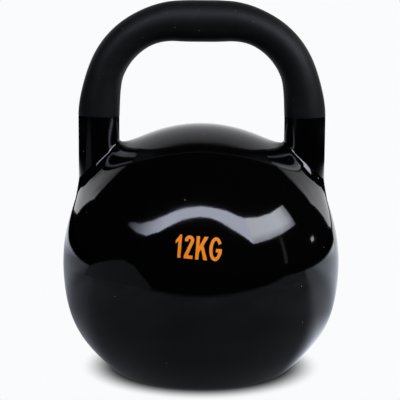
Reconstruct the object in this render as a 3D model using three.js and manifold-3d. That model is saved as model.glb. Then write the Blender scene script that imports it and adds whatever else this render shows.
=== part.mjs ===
// Twelve-kilogram kettlebell of the competition pattern: a hollow steel ball welded from two
// pressed shells, a bent tube handle let into the ball and welded round each leg, a rubber grip
// sleeve let in flush with the tube, cement ballast in the bottom of the ball, and a plugged
// filling boss in the foot.
//
// Frame: millimetres, origin at the centre of the foot, +Z up, X across the handle, and the
// weight mark on the -Y side.

import * as THREE from 'three';
import { mergeVertices } from 'three/addons/utils/BufferGeometryUtils.js';
import Module from 'manifold-3d';

const wasm = await Module();
wasm.setup();

// ---- Driving dimensions ----------------------------------------------------------------------

const GAP = 0.3; // clearance between pieces that touch

// Ball
const BALL_R = 105;
const BALL_Z = 81; // height of the ball's centre, which is also the seam
const WALL = 7;
const CAVITY_R = BALL_R - WALL;
const FLOOR_T = 8; // thickness of the foot
const FOOT_ROUND = 5; // radius where the wall turns into the foot
const FULLNESS = 1.7; // how far the lower wall stands outside a true sphere
const FULLNESS_TOP = THREE.MathUtils.degToRad(-3);
const FULLNESS_BOTTOM = THREE.MathUtils.degToRad(-48);

// Shoulders: the ball swells to meet each leg
const SHOULDER_RISE = 5.6;
const SHOULDER_REACH_OUT = 13; // distance over which the swelling fades, on the outer side
const SHOULDER_REACH_IN = 7; // and on the side of the window

// Handle centreline, from the middle of the bar: straight, main bend, easy bend, straight leg
const BAR_Z = 264.5;
const BAR_HALF = 17.9;
const MAIN_BEND_R = 57.6;
const EASY_BEND_R = 134;
const EASY_BEND_ANGLE = THREE.MathUtils.degToRad(13.35);
const MAIN_BEND_ANGLE = Math.PI / 2 - EASY_BEND_ANGLE;
const LEG_END_Z = 100; // the tube ends here, inside the ball

// Handle section
const LEG_R = 15.4;
const BORE_R = 10.4;
const GRIP_R = 15.5; // outside of the rubber sleeve
const SLEEVE_WALL = 1.2;
const CORE_R = GRIP_R - SLEEVE_WALL - GAP; // the tube is turned down under the sleeve
const SLEEVE_END_Z = 193.5;
const SHOULDER_RUN = 0.1; // length of the step from leg to turned-down core
const SQUEEZE = 2; // the bends are pressed flatter than the rest by this much each side
const SQUEEZE_STARTS = 7; // distances from the middle of the bar
const SQUEEZE_FULL = 49;
const SQUEEZE_EASES = 85;
const SQUEEZE_ENDS = 120;

// Seam between the shells
const SEAM_GAP = 0.15; // each shell stops this far from the seam plane
const GROOVE_DEPTH = 4;
const GROOVE_HALF = 3; // half width of the groove at the surface
const BACKING_WALL = 3;
const BACKING_HALF = 8; // half height of the backing ring

// Leg welds
const WELD_LEG = 2.4; // how far the bead reaches out from the hole
const WELD_RISE = 1.8; // how far it stands over the shell

// Filling boss and plug in the foot
const BOSS_R = 22;
const BOSS_BORE_R = 15.8;
const BOSS_SEAT_R = 19.4;
const BOSS_SEAT_DEPTH = 6.3;
const BOSS_H = 24;
const PLUG_R = BOSS_BORE_R - GAP;
const PLUG_HEAD_R = BOSS_SEAT_R - GAP;
const PLUG_HEAD_T = 3;
const PLUG_RECESS = 1.5; // the plug's head sits this far above the floor
const PLUG_TOP_Z = 18;
const SLOT_W = 3; // screwdriver slot across the plug's head
const SLOT_DEPTH = 2;
const WASHER_IN_R = PLUG_R + 0.7;
const WASHER_OUT_R = PLUG_HEAD_R - 0.4;

// Ballast: its level sets the kettlebell's mass
const BALLAST_TOP_Z = 61.7;
const BALLAST_GAP = 0.6;

// Weight mark, a film of ink on the front of the ball
const MARK_H = 17;
const MARK_STROKE = 2.35;
const MARK_X = -1;
const MARK_Z = 112.5;
const MARK_TILT = THREE.MathUtils.degToRad(-4.2);
const MARK_SPACE = 1.6;
const INK_T = 0.3;

// Facets
const BALL_FACETS = 48;
const BALL_RINGS = 24;
const HANDLE_FACETS = 20;
const MAIN_BEND_STEP = THREE.MathUtils.degToRad(11);
const EASY_BEND_STEPS = 3;
const BORE_FACETS = 24;

// ---- Materials -------------------------------------------------------------------------------

const blackEnamel = new THREE.MeshStandardMaterial({ color: 0x060607, roughness: 0.12, metalness: 0 });
const gripRubber = new THREE.MeshStandardMaterial({ color: 0x1f2023, roughness: 0.85, metalness: 0 });
const orangeInk = new THREE.MeshStandardMaterial({ color: 0xf88c18, roughness: 0.45, metalness: 0 });
const bareSteel = new THREE.MeshStandardMaterial({ color: 0x6f7173, roughness: 0.55, metalness: 1 });
const zincedSteel = new THREE.MeshStandardMaterial({ color: 0xa9abad, roughness: 0.35, metalness: 1 });
const cement = new THREE.MeshStandardMaterial({ color: 0x8d8a84, roughness: 0.95, metalness: 0 });
const nitrile = new THREE.MeshStandardMaterial({ color: 0x151515, roughness: 0.7, metalness: 0 });

// ---- Solids and booleans ---------------------------------------------------------------------

function toSolid(geometry) {
  const bare = geometry.clone();
  bare.deleteAttribute('normal');
  bare.deleteAttribute('uv');
  const merged = mergeVertices(bare);
  return new wasm.Manifold(new wasm.Mesh({
    numProp: 3,
    vertProperties: merged.attributes.position.array,
    triVerts: new Uint32Array(merged.index.array),
  }));
}

function toGeometry(solid) {
  const mesh = solid.getMesh();
  const geometry = new THREE.BufferGeometry();
  geometry.setAttribute('position', new THREE.BufferAttribute(mesh.vertProperties, mesh.numProp));
  geometry.setIndex(new THREE.BufferAttribute(mesh.triVerts, 1));
  geometry.computeVertexNormals();
  return geometry;
}

// A solid of revolution about Z. The outline is a list of [radius, height], going up on the outside.
function lathe(outline, facets) {
  const points = outline.map(([radius, height]) => new THREE.Vector2(radius, height));
  return new THREE.LatheGeometry(points, facets).rotateX(Math.PI / 2);
}

function ring(outline, facets) {
  return lathe([...outline, outline[0]], facets);
}

function upright(radius, bottom, top, facets, x = 0) {
  return new THREE.CylinderGeometry(radius, radius, top - bottom, facets)
    .rotateX(Math.PI / 2)
    .translate(x, 0, (top + bottom) / 2);
}

// ---- Handle centreline -----------------------------------------------------------------------

// The place at a distance along the centreline from the middle of the bar, and how far it has turned down
function handlePlace(distance) {
  const along = Math.abs(distance);
  const mainEnd = BAR_HALF + MAIN_BEND_R * MAIN_BEND_ANGLE;
  const easyEnd = mainEnd + EASY_BEND_R * EASY_BEND_ANGLE;
  const mainX = BAR_HALF + MAIN_BEND_R * Math.sin(MAIN_BEND_ANGLE);
  const mainZ = BAR_Z - MAIN_BEND_R * (1 - Math.cos(MAIN_BEND_ANGLE));
  let x = along;
  let z = BAR_Z;
  let turn = 0;
  if (along > BAR_HALF) {
    turn = Math.min((along - BAR_HALF) / MAIN_BEND_R, MAIN_BEND_ANGLE);
    x = BAR_HALF + MAIN_BEND_R * Math.sin(turn);
    z = BAR_Z - MAIN_BEND_R * (1 - Math.cos(turn));
  }
  if (along > mainEnd) {
    turn = Math.min(MAIN_BEND_ANGLE + (along - mainEnd) / EASY_BEND_R, Math.PI / 2);
    x = mainX + EASY_BEND_R * (Math.sin(turn) - Math.sin(MAIN_BEND_ANGLE));
    z = mainZ - EASY_BEND_R * (Math.cos(MAIN_BEND_ANGLE) - Math.cos(turn));
  }
  if (along > easyEnd) {
    z -= along - easyEnd;
  }
  return { x, z, turn };
}

const LEG_START = BAR_HALF + MAIN_BEND_R * MAIN_BEND_ANGLE + EASY_BEND_R * EASY_BEND_ANGLE;
const LEG_X = handlePlace(LEG_START).x;
const LEG_START_Z = handlePlace(LEG_START).z;

// ---- Ball surface ----------------------------------------------------------------------------

// Where the leg crosses the swollen surface, seen from the ball's centre, it is nearly an ellipse
const CREASE_R = BALL_R + SHOULDER_RISE;
const CREASE_IN = Math.asin((LEG_X - LEG_R) / CREASE_R);
const CREASE_OUT = Math.asin((LEG_X + LEG_R) / CREASE_R);
const CREASE_MID = (CREASE_IN + CREASE_OUT) / 2;
const CREASE_HALF = CREASE_R * (CREASE_OUT - CREASE_IN) / 2;
const SHOULDER_FADE_LAT = THREE.MathUtils.degToRad(12);

function shoulder(direction) {
  const across = CREASE_R * (Math.atan2(Math.abs(direction.x), direction.z) - CREASE_MID);
  const along = CREASE_R * Math.asin(direction.y);
  const reach = Math.hypot(across, along);
  const share = Math.hypot(across / CREASE_HALF, along / LEG_R);
  const clear = share > 1 ? reach * (1 - 1 / share) : 0;
  const outward = reach > 0 ? across / reach : 0;
  const fade = THREE.MathUtils.lerp(SHOULDER_REACH_IN, SHOULDER_REACH_OUT, (outward + 1) / 2);
  const latitude = Math.asin(direction.z);
  return SHOULDER_RISE * Math.exp(-clear / fade) * THREE.MathUtils.smoothstep(latitude, 0, SHOULDER_FADE_LAT);
}

function fullness(latitude) {
  const share = THREE.MathUtils.clamp((latitude - FULLNESS_TOP) / (FULLNESS_BOTTOM - FULLNESS_TOP), 0, 1);
  return FULLNESS * Math.sin(Math.PI * share) ** 2;
}

// The whole swollen ball, standing off its surface by the given amount
function swollenBall(standOff) {
  const geometry = new THREE.SphereGeometry(1, BALL_FACETS, BALL_RINGS).rotateX(Math.PI / 2);
  const position = geometry.attributes.position;
  const growth = (BALL_R + standOff) / BALL_R;
  const direction = new THREE.Vector3();
  for (let i = 0; i < position.count; i += 1) {
    direction.fromBufferAttribute(position, i).normalize();
    direction.multiplyScalar((BALL_R + shoulder(direction)) * growth);
    position.setXYZ(i, direction.x, direction.y, direction.z + BALL_Z);
  }
  return toSolid(geometry);
}

// ---- Shells ----------------------------------------------------------------------------------

function grooveCutter() {
  const slope = (GROOVE_HALF - SEAM_GAP) / GROOVE_DEPTH;
  const over = 2; // the cutter runs past the surface by this much
  const mouth = GROOVE_HALF + over * slope;
  return toSolid(ring([
    [BALL_R - GROOVE_DEPTH, BALL_Z - SEAM_GAP],
    [BALL_R + over, BALL_Z - mouth],
    [BALL_R + over, BALL_Z + mouth],
    [BALL_R - GROOVE_DEPTH, BALL_Z + SEAM_GAP],
  ], BALL_FACETS));
}

function upperShell() {
  const reach = 3 * BALL_R;
  const above = new THREE.BoxGeometry(reach, reach, reach).translate(0, 0, BALL_Z + SEAM_GAP + reach / 2);
  const cavity = new THREE.SphereGeometry(CAVITY_R, BALL_FACETS, BALL_RINGS)
    .rotateX(Math.PI / 2)
    .translate(0, 0, BALL_Z);
  let shell = swollenBall(0).intersect(toSolid(above)).subtract(toSolid(cavity)).subtract(grooveCutter());
  for (const side of [-1, 1]) {
    const hole = upright(LEG_R + GAP, LEG_END_Z, LEG_START_Z, HANDLE_FACETS, side * LEG_X);
    shell = shell.subtract(toSolid(hole));
  }
  return toGeometry(shell);
}

function arcPoints(centreX, centreZ, radius, from, to, steps, swell = () => 0) {
  const points = [];
  for (let i = 0; i <= steps; i += 1) {
    const angle = THREE.MathUtils.lerp(from, to, i / steps);
    const reach = radius + swell(angle);
    points.push([centreX + reach * Math.cos(angle), centreZ + reach * Math.sin(angle)]);
  }
  return points;
}

function lowerShell() {
  const seamTop = BALL_Z - SEAM_GAP;
  const footCentreR = Math.sqrt((BALL_R - FOOT_ROUND) ** 2 - (BALL_Z - FOOT_ROUND) ** 2);
  const footLatitude = Math.atan2(FOOT_ROUND - BALL_Z, footCentreR);
  const grooveLatitude = -Math.asin(GROOVE_HALF / BALL_R);
  const floorLatitude = -Math.asin((BALL_Z - FLOOR_T) / CAVITY_R);
  const rimLatitude = -Math.asin(SEAM_GAP / CAVITY_R);
  return ring([
    [BOSS_R + GAP, 0],
    ...arcPoints(footCentreR, FOOT_ROUND, FOOT_ROUND, -Math.PI / 2, footLatitude, 2),
    ...arcPoints(0, BALL_Z, BALL_R, footLatitude, grooveLatitude, 9, fullness).slice(1),
    [BALL_R - GROOVE_DEPTH, seamTop],
    ...arcPoints(0, BALL_Z, CAVITY_R, rimLatitude, floorLatitude, 6),
    [BOSS_R + GAP, FLOOR_T],
  ], BALL_FACETS);
}

function equatorWeld() {
  const slope = (GROOVE_HALF - SEAM_GAP) / GROOVE_DEPTH;
  const inset = GAP * Math.hypot(1, slope); // keeps the gap square to the groove's sides
  const rootR = BALL_R - GROOVE_DEPTH + (inset - SEAM_GAP) / slope;
  const toe = GROOVE_HALF - inset;
  const toeR = Math.sqrt(BALL_R ** 2 - toe ** 2);
  return ring([[rootR, BALL_Z], [toeR, BALL_Z - toe], [BALL_R, BALL_Z], [toeR, BALL_Z + toe]], BALL_FACETS);
}

function backingRing() {
  const edgeR = Math.sqrt(CAVITY_R ** 2 - BACKING_HALF ** 2);
  const outer = edgeR - 2 * GAP;
  return ring([
    [outer - BACKING_WALL, BALL_Z - BACKING_HALF],
    [outer, BALL_Z - BACKING_HALF],
    [outer, BALL_Z + BACKING_HALF],
    [outer - BACKING_WALL, BALL_Z + BACKING_HALF],
  ], BALL_FACETS);
}

// ---- Handle ----------------------------------------------------------------------------------

function squeeze(along) {
  const rises = THREE.MathUtils.smoothstep(along, SQUEEZE_STARTS, SQUEEZE_FULL);
  const falls = THREE.MathUtils.smoothstep(along, SQUEEZE_EASES, SQUEEZE_ENDS);
  return SQUEEZE * rises * (1 - falls);
}

// Distances from the middle of the bar, one for each ring of the tube, out to the last one
function handleStations(last, extra = []) {
  const mainSteps = Math.round(MAIN_BEND_ANGLE / MAIN_BEND_STEP);
  const half = [BAR_HALF / 2, BAR_HALF];
  for (let i = 1; i <= mainSteps; i += 1) {
    half.push(BAR_HALF + MAIN_BEND_R * MAIN_BEND_ANGLE * i / mainSteps);
  }
  const mainEnd = half.at(-1);
  for (let i = 1; i <= EASY_BEND_STEPS; i += 1) {
    half.push(mainEnd + EASY_BEND_R * EASY_BEND_ANGLE * i / EASY_BEND_STEPS);
  }
  const outward = [...half.filter((along) => along < last - 1), ...extra, last].sort((a, b) => a - b);
  return [...outward.map((along) => -along).reverse(), 0, ...outward];
}

// A straight tube, one unit long for each station, is carried ring by ring onto the centreline
function bentTube(stations, outerR, innerR) {
  const section = new THREE.Shape().absarc(0, 0, 2, 0, 2 * Math.PI);
  section.holes.push(new THREE.Path().absarc(0, 0, 1, 0, 2 * Math.PI, true));
  const steps = stations.length - 1;
  const options = { depth: steps, steps, bevelEnabled: false, curveSegments: HANDLE_FACETS / 2 };
  const tube = new THREE.ExtrudeGeometry(section, options);
  const position = tube.attributes.position;
  for (let i = 0; i < position.count; i += 1) {
    const distance = stations[Math.round(position.getZ(i))];
    const { x, z, turn } = handlePlace(distance);
    const around = Math.atan2(position.getY(i), position.getX(i));
    const onOutside = Math.hypot(position.getX(i), position.getY(i)) > 1.5;
    const radius = onOutside ? outerR(Math.abs(distance)) : innerR;
    const rise = (radius - squeeze(Math.abs(distance))) * Math.cos(around);
    position.setXYZ(
      i,
      Math.sign(distance) * (x + rise * Math.sin(turn)),
      -radius * Math.sin(around),
      z + rise * Math.cos(turn),
    );
  }
  tube.computeVertexNormals();
  return tube;
}

function sleeveEnd() {
  const drop = (SLEEVE_END_Z - LEG_START_Z) / EASY_BEND_R;
  return LEG_START - EASY_BEND_R * Math.asin(drop);
}

function handleTube() {
  const step = sleeveEnd() + GAP;
  const end = LEG_START + LEG_START_Z - LEG_END_Z;
  const stations = handleStations(LEG_START, [step - SHOULDER_RUN, step]);
  const outerR = (along) => (along >= step ? LEG_R : CORE_R);
  return bentTube([-end, ...stations, end], outerR, BORE_R);
}

function gripSleeve() {
  return bentTube(handleStations(sleeveEnd()), () => GRIP_R, GRIP_R - SLEEVE_WALL);
}

function legWeld(side) {
  const holeR = LEG_R + GAP;
  const beadTop = LEG_START_Z;
  const bead = toSolid(upright(holeR + WELD_LEG, BALL_Z, beadTop, HANDLE_FACETS, side * LEG_X))
    .subtract(toSolid(upright(holeR, BALL_Z - 1, beadTop + 1, HANDLE_FACETS, side * LEG_X)))
    .intersect(swollenBall(WELD_RISE))
    .subtract(swollenBall(GAP));
  return toGeometry(bead);
}

// ---- Inside and under the ball ---------------------------------------------------------------

function ballast() {
  const outerR = CAVITY_R - BALLAST_GAP;
  const pocketR = BOSS_R + BALLAST_GAP;
  const bottom = FLOOR_T + BALLAST_GAP;
  const lowest = -Math.asin((BALL_Z - bottom) / outerR);
  const highest = -Math.asin((BALL_Z - BALLAST_TOP_Z) / outerR);
  return lathe([
    [0, BOSS_H + BALLAST_GAP],
    [pocketR, BOSS_H + BALLAST_GAP],
    [pocketR, bottom],
    ...arcPoints(0, BALL_Z, outerR, lowest, highest, 5),
    [0, BALLAST_TOP_Z],
  ], BALL_FACETS);
}

function fillingBoss() {
  return ring([
    [BOSS_SEAT_R, 0],
    [BOSS_R, 0],
    [BOSS_R, BOSS_H],
    [BOSS_BORE_R, BOSS_H],
    [BOSS_BORE_R, BOSS_SEAT_DEPTH],
    [BOSS_SEAT_R, BOSS_SEAT_DEPTH],
  ], BORE_FACETS);
}

function basePlug() {
  const headTop = PLUG_RECESS + PLUG_HEAD_T;
  const body = lathe([
    [0, PLUG_RECESS],
    [PLUG_HEAD_R, PLUG_RECESS],
    [PLUG_HEAD_R, headTop],
    [PLUG_R, headTop],
    [PLUG_R, PLUG_TOP_Z],
    [0, PLUG_TOP_Z],
  ], BORE_FACETS);
  const slotTop = PLUG_RECESS + SLOT_DEPTH;
  const slot = new THREE.BoxGeometry(3 * PLUG_HEAD_R, SLOT_W, slotTop).translate(0, 0, slotTop / 2);
  return toGeometry(toSolid(body).subtract(toSolid(slot)));
}

function plugWasher() {
  const bottom = PLUG_RECESS + PLUG_HEAD_T + GAP;
  const top = BOSS_SEAT_DEPTH - GAP;
  const corners = [[WASHER_IN_R, bottom], [WASHER_OUT_R, bottom], [WASHER_OUT_R, top], [WASHER_IN_R, top]];
  return ring(corners, BORE_FACETS);
}

// ---- Weight mark -----------------------------------------------------------------------------

// Each character is drawn on its own baseline and returns its outline and its width

function markOne() {
  const width = 4.8;
  const stemLeft = width - MARK_STROKE;
  const shape = new THREE.Shape();
  shape.moveTo(stemLeft, 0);
  shape.lineTo(width, 0);
  shape.lineTo(width, MARK_H);
  shape.lineTo(width - 1.6, MARK_H);
  shape.lineTo(0, MARK_H - 3.9);
  shape.lineTo(0, MARK_H - 6.4);
  shape.lineTo(stemLeft, MARK_H - 4.6);
  shape.closePath();
  return { shape, width };
}

function markTwo() {
  const width = 7;
  const bowlR = width / 2;
  const bowlZ = MARK_H - bowlR;
  const leaves = -Math.PI / 6; // angle at which the bowl runs into the slope
  const shape = new THREE.Shape();
  shape.moveTo(0, bowlZ - 0.9);
  shape.lineTo(0, bowlZ);
  shape.absarc(bowlR, bowlZ, bowlR, Math.PI, leaves, true);
  shape.lineTo(MARK_STROKE + 0.4, MARK_STROKE);
  shape.lineTo(width, MARK_STROKE);
  shape.lineTo(width, 0);
  shape.lineTo(0, 0);
  shape.lineTo(0, MARK_STROKE - 0.3);
  shape.absarc(bowlR, bowlZ, bowlR - MARK_STROKE, leaves, Math.PI, false);
  shape.lineTo(MARK_STROKE, bowlZ - 0.9);
  shape.closePath();
  return { shape, width };
}

function markK() {
  const width = 8.5;
  const armW = 2.8; // level width of the slanting strokes
  const waist = 0.58 * MARK_H;
  const shape = new THREE.Shape();
  shape.moveTo(0, 0);
  shape.lineTo(MARK_STROKE, 0);
  shape.lineTo(MARK_STROKE, 0.3 * MARK_H);
  shape.lineTo(MARK_STROKE + 1.4, 0.45 * MARK_H);
  shape.lineTo(width - armW, 0);
  shape.lineTo(width, 0);
  shape.lineTo(MARK_STROKE + 2.9, 0.62 * MARK_H);
  shape.lineTo(width - 0.2, MARK_H);
  shape.lineTo(width - 0.2 - armW, MARK_H);
  shape.lineTo(MARK_STROKE, waist);
  shape.lineTo(MARK_STROKE, MARK_H);
  shape.lineTo(0, MARK_H);
  shape.closePath();
  return { shape, width };
}

function markG() {
  const width = 8.8;
  const midX = width / 2;
  const midZ = MARK_H / 2;
  const outerX = midX;
  const outerZ = midZ + 0.2;
  const innerX = outerX - MARK_STROKE;
  const innerZ = outerZ - MARK_STROKE;
  const mouthTop = Math.PI / 6;
  const mouthLow = 2 * Math.PI - 0.8;
  const barTop = 0.52 * MARK_H;
  const barLeft = midX + 0.3;
  const shape = new THREE.Shape();
  shape.absellipse(midX, midZ, outerX, outerZ, mouthTop, mouthLow, false, 0);
  shape.lineTo(width, 0.2 * MARK_H);
  shape.lineTo(width, barTop);
  shape.lineTo(barLeft, barTop);
  shape.lineTo(barLeft, barTop - MARK_STROKE);
  shape.lineTo(width - MARK_STROKE, barTop - MARK_STROKE);
  shape.absellipse(midX, midZ, innerX, innerZ, mouthLow, mouthTop, true, 0);
  shape.closePath();
  return { shape, width };
}

// An ink film: the character pushed straight through the ball's front, kept only within the skin
// that lies just over the shell
function inkFilm({ shape, left }, skin) {
  const options = { depth: BALL_R, bevelEnabled: false, curveSegments: 5 };
  const block = new THREE.ExtrudeGeometry(shape, options)
    .translate(left, -MARK_H / 2, 0)
    .rotateZ(MARK_TILT)
    .rotateX(Math.PI / 2)
    .translate(MARK_X, 0, MARK_Z);
  return toGeometry(toSolid(block).intersect(skin));
}

function weightMark() {
  const characters = { mark_1: markOne(), mark_2: markTwo(), mark_K: markK(), mark_G: markG() };
  const widths = Object.values(characters).map(({ width }) => width);
  const total = widths.reduce((sum, width) => sum + width, 0) + MARK_SPACE * (widths.length - 1);
  const skin = swollenBall(GAP + INK_T).subtract(swollenBall(GAP));
  let left = -total / 2;
  return Object.entries(characters).map(([name, { shape, width }]) => {
    const film = inkFilm({ shape, left }, skin);
    left += width + MARK_SPACE;
    return piece(name, film, orangeInk);
  });
}

// ---- Assembly --------------------------------------------------------------------------------

function piece(name, geometry, material) {
  const mesh = new THREE.Mesh(geometry, material);
  mesh.name = name;
  return mesh;
}

const ball = new THREE.Group();
ball.add(
  piece('upper_shell', upperShell(), blackEnamel),
  piece('lower_shell', lowerShell(), blackEnamel),
  piece('equator_weld', equatorWeld(), blackEnamel),
  piece('seam_backing_ring', backingRing(), bareSteel),
  piece('ballast', ballast(), cement),
);

const handle = new THREE.Group();
handle.add(
  piece('handle_tube', handleTube(), blackEnamel),
  piece('grip_sleeve', gripSleeve(), gripRubber),
  piece('left_leg_weld', legWeld(-1), blackEnamel),
  piece('right_leg_weld', legWeld(1), blackEnamel),
);

const foot = new THREE.Group();
foot.add(
  piece('filling_boss', fillingBoss(), bareSteel),
  piece('base_plug', basePlug(), zincedSteel),
  piece('plug_washer', plugWasher(), nitrile),
);

const mark = new THREE.Group();
mark.add(...weightMark());

const kettlebell = new THREE.Group();
kettlebell.add(ball, handle, foot, mark);

export default kettlebell;
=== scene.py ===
"""A 12 kg competition kettlebell: the pieces that show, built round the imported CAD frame.

Everything is in metres in the frame's own axes: origin at the centre of the foot, +Z up, X across the
handle, the weight mark on the -Y side.
"""

from math import asin, atan2, cos, pi, radians, sin, sqrt

import bmesh
import bpy
import numpy as np
from bpy.props import FloatProperty, FloatVectorProperty, PointerProperty
from bpy.types import Operator, Panel, PropertyGroup
from mathutils import Matrix, Vector


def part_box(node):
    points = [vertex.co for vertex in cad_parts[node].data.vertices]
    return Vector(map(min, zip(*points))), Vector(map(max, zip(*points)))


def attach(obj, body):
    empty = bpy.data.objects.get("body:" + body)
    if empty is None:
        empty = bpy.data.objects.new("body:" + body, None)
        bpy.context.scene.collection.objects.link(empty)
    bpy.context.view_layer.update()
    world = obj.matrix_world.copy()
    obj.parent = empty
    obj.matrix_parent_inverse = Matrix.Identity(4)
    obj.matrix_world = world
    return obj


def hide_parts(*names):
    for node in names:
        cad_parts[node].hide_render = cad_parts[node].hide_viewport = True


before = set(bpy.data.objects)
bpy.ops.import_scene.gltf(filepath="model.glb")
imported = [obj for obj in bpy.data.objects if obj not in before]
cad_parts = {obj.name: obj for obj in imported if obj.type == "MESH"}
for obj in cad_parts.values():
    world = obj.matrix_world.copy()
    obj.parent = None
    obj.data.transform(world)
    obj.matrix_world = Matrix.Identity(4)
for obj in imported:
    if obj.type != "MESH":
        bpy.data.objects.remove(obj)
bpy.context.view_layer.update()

bl_info = {
    "name": "Competition Kettlebell",
    "version": (1, 0, 0),
    "blender": (4, 5, 0),
    "location": "View3D > Sidebar > Kettlebell",
    "description": "Builds the visible pieces of a competition kettlebell and its studio",
    "category": "Mesh",
}

MM = 0.001
ROOT = "root"
WELD_GAP = 0.001 * MM  # points nearer than this are made one
NO_LENGTH = 1e-9

# ---- Places that the frame gives -------------------------------------------------------------------

WELD_LOW, WELD_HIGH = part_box("equator_weld")
BALL_R = WELD_HIGH.x
SEAM_Z = (WELD_LOW.z + WELD_HIGH.z) / 2
SEAM_HALF = (WELD_HIGH.z - WELD_LOW.z) / 2

TUBE_LOW, TUBE_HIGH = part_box("handle_tube")
LEG_R = TUBE_HIGH.y
LEG_X = TUBE_HIGH.x - LEG_R
TUBE_END_Z = TUBE_LOW.z

SLEEVE_LOW, SLEEVE_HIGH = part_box("grip_sleeve")
GRIP_R = SLEEVE_HIGH.y
BAR_Z = SLEEVE_HIGH.z - GRIP_R

# The leg's enamel turns from glossy to drier between these heights
TUBE_DRY_LOW = SLEEVE_LOW.z - 22 * MM
TUBE_DRY_HIGH = SLEEVE_LOW.z - 10 * MM

BOSS_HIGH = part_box("filling_boss")[1]
PLUG_LOW, PLUG_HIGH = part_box("base_plug")
WASHER_LOW, WASHER_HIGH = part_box("plug_washer")

MARK_NODES = ["mark_1", "mark_2", "mark_K", "mark_G"]
MARK_LOW = Vector(map(min, zip(*(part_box(node)[0] for node in MARK_NODES))))
MARK_HIGH = Vector(map(max, zip(*(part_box(node)[1] for node in MARK_NODES))))


def linear(code):
    """Turns an sRGB hex colour into the linear values that Blender works in."""
    shares = [int(code[i : i + 2], 16) / 255 for i in (0, 2, 4)]
    return [c / 12.92 if c <= 0.04045 else ((c + 0.055) / 1.055) ** 2.4 for c in shares]


# ---- What a user would change ----------------------------------------------------------------------


class KettlebellSizes(PropertyGroup):
    """Sizes that the frame's boxes don't give."""

    wall: FloatProperty(
        name="Shell wall", description="Thickness of the two shells", default=7 * MM, unit="LENGTH"
    )
    floor: FloatProperty(
        name="Foot thickness", description="Thickness of the flat foot", default=8 * MM, unit="LENGTH"
    )
    foot_round: FloatProperty(
        name="Foot edge",
        description="Radius where the wall turns into the foot",
        default=5 * MM,
        unit="LENGTH",
    )
    fullness: FloatProperty(
        name="Lower fullness",
        description="How far the lower wall stands outside a true sphere",
        default=1.7 * MM,
        unit="LENGTH",
    )
    crown: FloatProperty(
        name="Crown",
        description="How far the top of the ball stands outside a true sphere",
        default=1.3 * MM,
        unit="LENGTH",
    )
    groove: FloatProperty(
        name="Seam groove",
        description="Depth of the welded groove at the seam",
        default=4 * MM,
        unit="LENGTH",
    )
    shoulder_in: FloatProperty(
        name="Inner shoulder",
        description="How far the ball swells to meet a leg on the window's side",
        default=6.3 * MM,
        unit="LENGTH",
    )
    shoulder_out: FloatProperty(
        name="Outer shoulder",
        description="How far the ball swells to meet a leg on the outer side",
        default=6.8 * MM,
        unit="LENGTH",
    )
    reach_out: FloatProperty(
        name="Outer reach",
        description="Distance over which the swelling fades on the outer side",
        default=13 * MM,
        unit="LENGTH",
    )
    reach_in: FloatProperty(
        name="Inner reach",
        description="Distance over which the swelling fades on the window's side",
        default=5.6 * MM,
        unit="LENGTH",
    )
    reach_front: FloatProperty(
        name="Front reach",
        description="Distance over which the swelling fades to the front and back",
        default=8.9 * MM,
        unit="LENGTH",
    )
    bar_half: FloatProperty(
        name="Bar half length", description="Half of the straight bar", default=17.9 * MM, unit="LENGTH"
    )
    main_bend: FloatProperty(
        name="Main bend",
        description="Centreline radius of the main bend",
        default=57.6 * MM,
        unit="LENGTH",
    )
    easy_bend: FloatProperty(
        name="Easy bend",
        description="Centreline radius of the easy bend",
        default=134 * MM,
        unit="LENGTH",
    )
    easy_angle: FloatProperty(
        name="Easy angle",
        description="Angle that the easy bend turns",
        default=radians(13.35),
        subtype="ANGLE",
    )
    squeeze: FloatProperty(
        name="Bend squeeze",
        description="How far each bend is pressed flat",
        default=2 * MM,
        unit="LENGTH",
    )
    tube_wall: FloatProperty(
        name="Tube wall", description="Wall of the handle tube", default=5 * MM, unit="LENGTH"
    )
    sleeve_wall: FloatProperty(
        name="Sleeve wall", description="Wall of the rubber sleeve", default=1.2 * MM, unit="LENGTH"
    )
    sleeve_end: FloatProperty(
        name="Sleeve end",
        description="Height at which the sleeve stops on a leg",
        default=193.5 * MM,
        unit="LENGTH",
    )
    fillet: FloatProperty(
        name="Leg fillet",
        description="Size of the painted weld round each leg",
        default=2.4 * MM,
        unit="LENGTH",
    )
    mark_height: FloatProperty(
        name="Mark height",
        description="Height of the weight mark's characters",
        default=15.7 * MM,
        unit="LENGTH",
    )
    mark_stroke: FloatProperty(
        name="Mark stroke",
        description="Stroke width of the characters",
        default=2.35 * MM,
        unit="LENGTH",
    )
    mark_aside: FloatProperty(
        name="Mark offset",
        description="How far the print sits off its CAD place",
        default=-0.9 * MM,
        unit="LENGTH",
    )
    mark_tilt: FloatProperty(
        name="Mark tilt",
        description="How far the printed mark leans",
        default=radians(-4.2),
        subtype="ANGLE",
    )
    ink: FloatProperty(
        name="Ink film", description="Thickness of the printed ink", default=0.1 * MM, unit="LENGTH"
    )


class KettlebellColours(PropertyGroup):
    """Colours of the finishes."""

    enamel: FloatVectorProperty(
        name="Enamel",
        description="Stoved enamel on the ball and legs",
        subtype="COLOR",
        default=linear("030303"),
    )
    rubber: FloatVectorProperty(
        name="Grip rubber",
        description="Moulded rubber of the sleeve",
        subtype="COLOR",
        default=linear("0A0B0A"),
    )
    ink: FloatVectorProperty(
        name="Ink",
        description="Screen ink of the weight mark",
        subtype="COLOR",
        default=linear("FF8E0C"),
    )
    steel: FloatVectorProperty(
        name="Steel",
        description="Rolled mild steel inside the ball",
        subtype="COLOR",
        default=linear("6C6D6F"),
    )
    zinc: FloatVectorProperty(
        name="Zinc",
        description="Zinc plate on the filling plug",
        subtype="COLOR",
        default=linear("B9BCC0"),
    )
    cement: FloatVectorProperty(
        name="Cement", description="Cement and grit ballast", subtype="COLOR", default=linear("8B8780")
    )


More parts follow.
